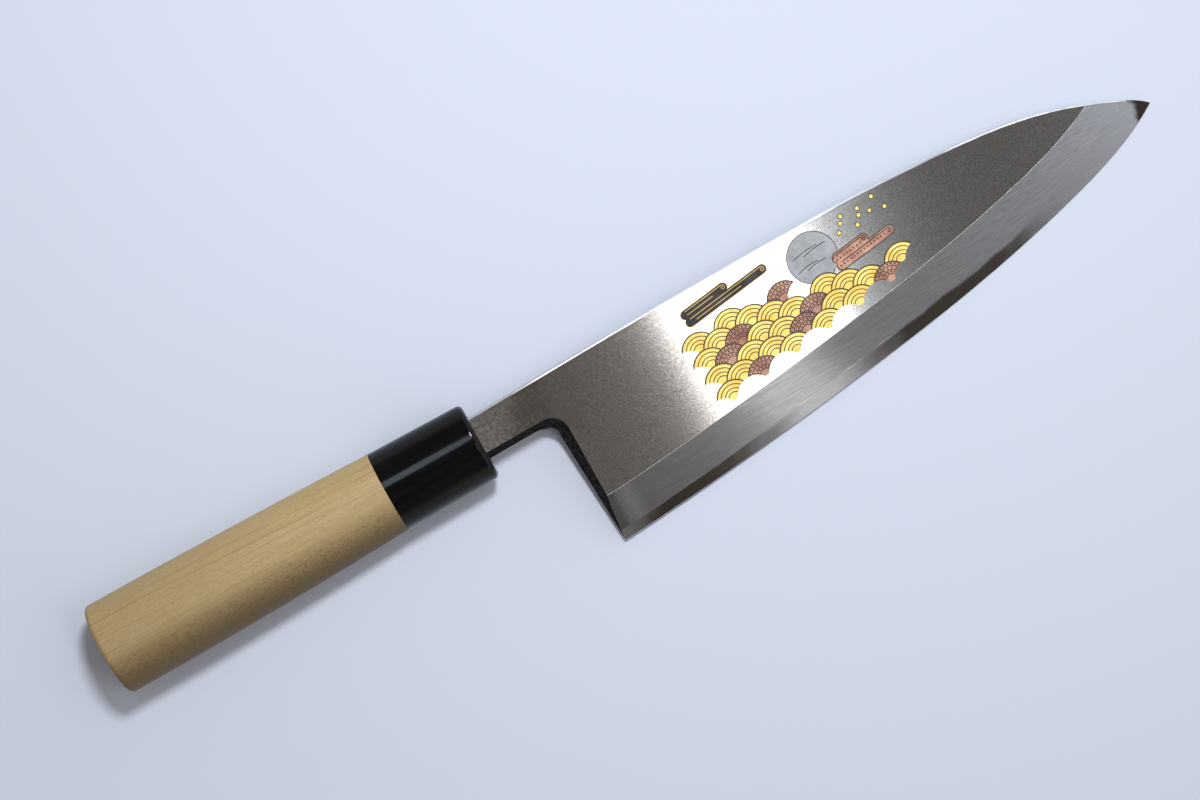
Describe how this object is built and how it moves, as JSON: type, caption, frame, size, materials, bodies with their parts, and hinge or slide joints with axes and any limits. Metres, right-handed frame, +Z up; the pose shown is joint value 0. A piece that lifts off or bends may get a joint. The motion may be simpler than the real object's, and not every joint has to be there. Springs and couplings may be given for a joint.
{
  "type": "deba knife",
  "caption": "Single-bevel deba knife on its flat back: thick hollow-backed blade inlaid with waves, clouds and a moon, black horn ferrule, plain oval wooden handle.",
  "frame": {"origin": "middle of the knife's bounding box, on the table that it rests on", "axes": "+X along the knife towards the tip, +Y across the blade towards the spine, +Z up from the table, out of the bevelled face"},
  "size_m": [0.358, 0.0618, 0.0257],
  "materials": {
    "iron": "fine satin soft iron, slightly brown",
    "steel": "whetstone-polished high-carbon steel",
    "horn": "polished black buffalo horn",
    "seal": "dull dark wax",
    "cement": "dull resin cement",
    "wood": "plain sanded magnolia wood, unvarnished",
    "gold": "satin gold-coloured plate with engraved lines",
    "copper": "satin pinkish copper plate with engraved lines",
    "dark_alloy": "blackened copper alloy",
    "silver": "satin silver plate with engraved lines"
  },
  "bodies": {
    "root": {"blade_iron": "iron", "blade_steel": "steel", "ferrule": "horn", "mouth_seal": "seal", "tang_bedding": "cement", "handle": "wood", "inlay_gold": "gold", "inlay_copper": "copper", "inlay_dark": "dark_alloy", "inlay_silver": "silver"}
  },
  "joints": []
}
